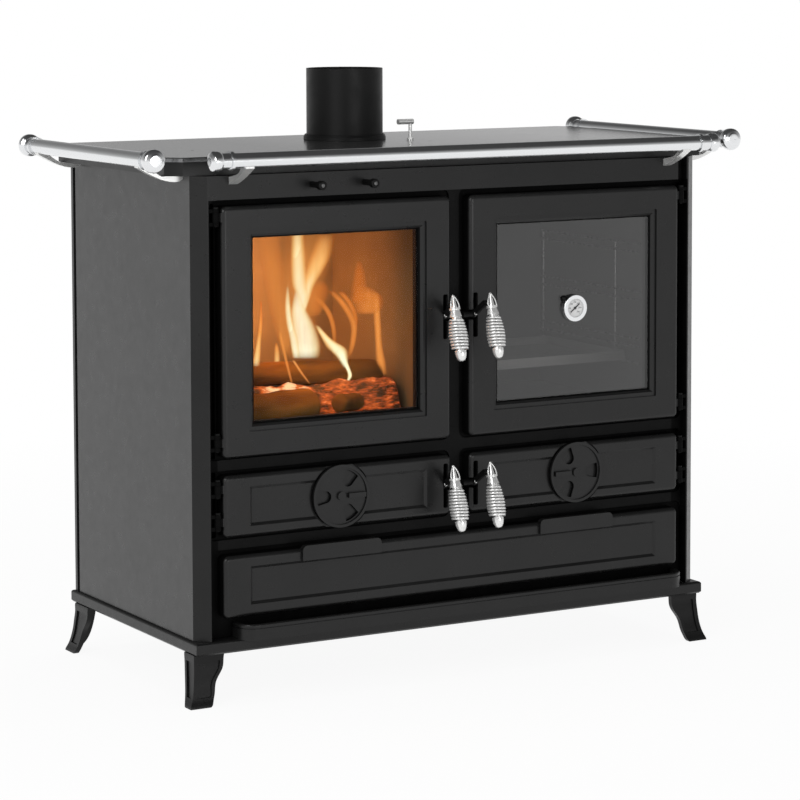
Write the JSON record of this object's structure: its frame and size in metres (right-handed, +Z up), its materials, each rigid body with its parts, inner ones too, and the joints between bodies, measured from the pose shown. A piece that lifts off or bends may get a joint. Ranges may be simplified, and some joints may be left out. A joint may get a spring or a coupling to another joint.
{
  "type": "wood cookstove",
  "caption": "Wood cookstove with a glazed fire door, a glazed oven door, small air doors, a low drawer, a polished cooking plate, chrome towel rails and a flue.",
  "frame": {"origin": "centre of the bounding box on the floor, under the legs", "axes": "-Y is the front with the doors, +X is the oven side (right, seen from the front), +Z is up"},
  "size_m": [1.121, 0.5756, 0.983],
  "materials": {
    "black_cast": "satin",
    "panel_grey": "satin",
    "black_steel": "matte",
    "hob_steel": "polished",
    "chrome": "polished",
    "glass": "polished",
    "rope_seal": "matte",
    "firebrick": "matte",
    "oven_enamel": "satin",
    "dial_white": "matte",
    "needle_black": "matte"
  },
  "bodies": {
    "stove_body": {"ash_pan": "black_steel", "back_panel": "panel_grey", "baffle_plate": "black_steel", "base_plinth": "black_cast", "cooking_plate": "hob_steel", "cooktop_band": "black_cast", "drawer_runners": "black_steel", "fire_grate": "black_steel", "firebricks": "firebrick", "flue_collar": "black_steel", "flue_pipe": "black_steel", "front_casting": "black_cast", "front_rail": "chrome", "hinge_pins": "black_steel", "inner_shell": "black_steel", "leg_back_left": "black_cast", "leg_back_right": "black_cast", "leg_bolts": "black_steel", "leg_front_left": "black_cast", "leg_front_right": "black_cast", "oven_box": "oven_enamel", "oven_rack_rails": "oven_enamel", "oven_tray": "oven_enamel", "rail_brackets": "chrome", "rail_end_caps": "chrome", "side_panel_left": "panel_grey", "side_panel_right": "panel_grey", "side_rails": "chrome"},
    "fire_door": {"fire_door_frame": "black_cast", "fire_door_seal": "rope_seal", "fire_door_glass": "glass", "fire_door_glass_retainer": "black_steel"},
    "oven_door": {"oven_door_frame": "black_cast", "oven_door_seal": "rope_seal", "oven_door_glass": "glass", "oven_door_glass_retainer": "black_steel", "thermometer_case": "chrome", "thermometer_dial": "dial_white"},
    "thermometer_pointer": {"thermometer_needle": "needle_black"},
    "left_small_door": {"lower_left_door": "black_cast"},
    "right_small_door": {"lower_right_door": "black_cast"},
    "left_air_control": {"lower_left_air_disc": "black_cast"},
    "right_air_control": {"lower_right_air_disc": "black_cast"},
    "drawer": {"drawer_front": "black_cast", "drawer_box": "black_steel"},
    "left_pull_rod": {"air_rod_left": "black_steel"},
    "right_pull_rod": {"air_rod_right": "black_steel"},
    "bypass_damper": {"damper_handle": "black_steel"},
    "fire_latch": {"fire_latch_lever": "black_steel", "fire_grip_core": "chrome", "fire_grip_coil": "chrome"},
    "oven_latch": {"oven_latch_lever": "black_steel", "oven_grip_core": "chrome", "oven_grip_coil": "chrome"},
    "lower_left_latch": {"lower_left_latch_lever": "black_steel", "lower_left_grip_core": "chrome", "lower_left_grip_coil": "chrome"},
    "lower_right_latch": {"lower_right_latch_lever": "black_steel", "lower_right_grip_core": "chrome", "lower_right_grip_coil": "chrome"}
  },
  "joints": [
    {"name": "fire_door_hinge", "type": "hinge", "parent": "stove_body", "child": "fire_door", "pos_m": [-0.438, -0.2099, 0.5875], "axis": [0, 0, -1], "range_deg": [0, 105]},
    {"name": "oven_door_hinge", "type": "hinge", "parent": "stove_body", "child": "oven_door", "pos_m": [0.438, -0.2099, 0.5875], "axis": [0, 0, 1], "range_deg": [0, 105]},
    {"name": "left_small_door_hinge", "type": "hinge", "parent": "stove_body", "child": "left_small_door", "pos_m": [-0.438, -0.2099, 0.314], "axis": [0, 0, -1], "range_deg": [0, 105]},
    {"name": "right_small_door_hinge", "type": "hinge", "parent": "stove_body", "child": "right_small_door", "pos_m": [0.438, -0.2099, 0.314], "axis": [0, 0, 1], "range_deg": [0, 105]},
    {"name": "drawer_slide", "type": "slide", "parent": "stove_body", "child": "drawer", "axis": [0, -1, 0], "range_m": [0, 0.3]},
    {"name": "left_air_disc_turn", "type": "hinge", "parent": "left_small_door", "child": "left_air_control", "pos_m": [-0.223, -0.2169, 0.314], "axis": [0, 1, 0], "range_deg": [0, 60]},
    {"name": "right_air_disc_turn", "type": "hinge", "parent": "right_small_door", "child": "right_air_control", "pos_m": [0.223, -0.2169, 0.314], "axis": [0, -1, 0], "range_deg": [0, 60]},
    {"name": "left_pull_rod_slide", "type": "slide", "parent": "stove_body", "child": "left_pull_rod", "axis": [0, -1, 0], "range_m": [0, 0.03]},
    {"name": "right_pull_rod_slide", "type": "slide", "parent": "stove_body", "child": "right_pull_rod", "axis": [0, -1, 0], "range_m": [0, 0.03]},
    {"name": "bypass_damper_turn", "type": "hinge", "parent": "stove_body", "child": "bypass_damper", "pos_m": [0.048, 0.0291, 0.864], "axis": [0, 0, 1], "range_deg": [0, 90]},
    {"name": "thermometer_pointer_turn", "type": "hinge", "parent": "oven_door", "child": "thermometer_pointer", "pos_m": [0.224, -0.2129, 0.5885], "axis": [0, 1, 0], "range_deg": [-120, 120]},
    {"name": "fire_latch_lift", "type": "hinge", "parent": "fire_door", "child": "fire_latch", "pos_m": [-0.0285, -0.2104, 0.59], "axis": [-1, 0, 0], "range_deg": [0, 32]},
    {"name": "oven_latch_lift", "type": "hinge", "parent": "oven_door", "child": "oven_latch", "pos_m": [0.0285, -0.2104, 0.59], "axis": [-1, 0, 0], "range_deg": [0, 32]},
    {"name": "lower_left_latch_lift", "type": "hinge", "parent": "left_small_door", "child": "lower_left_latch", "pos_m": [-0.0285, -0.2104, 0.3135], "axis": [-1, 0, 0], "range_deg": [0, 32]},
    {"name": "lower_right_latch_lift", "type": "hinge", "parent": "right_small_door", "child": "lower_right_latch", "pos_m": [0.0285, -0.2104, 0.3135], "axis": [-1, 0, 0], "range_deg": [0, 32]}
  ]
}
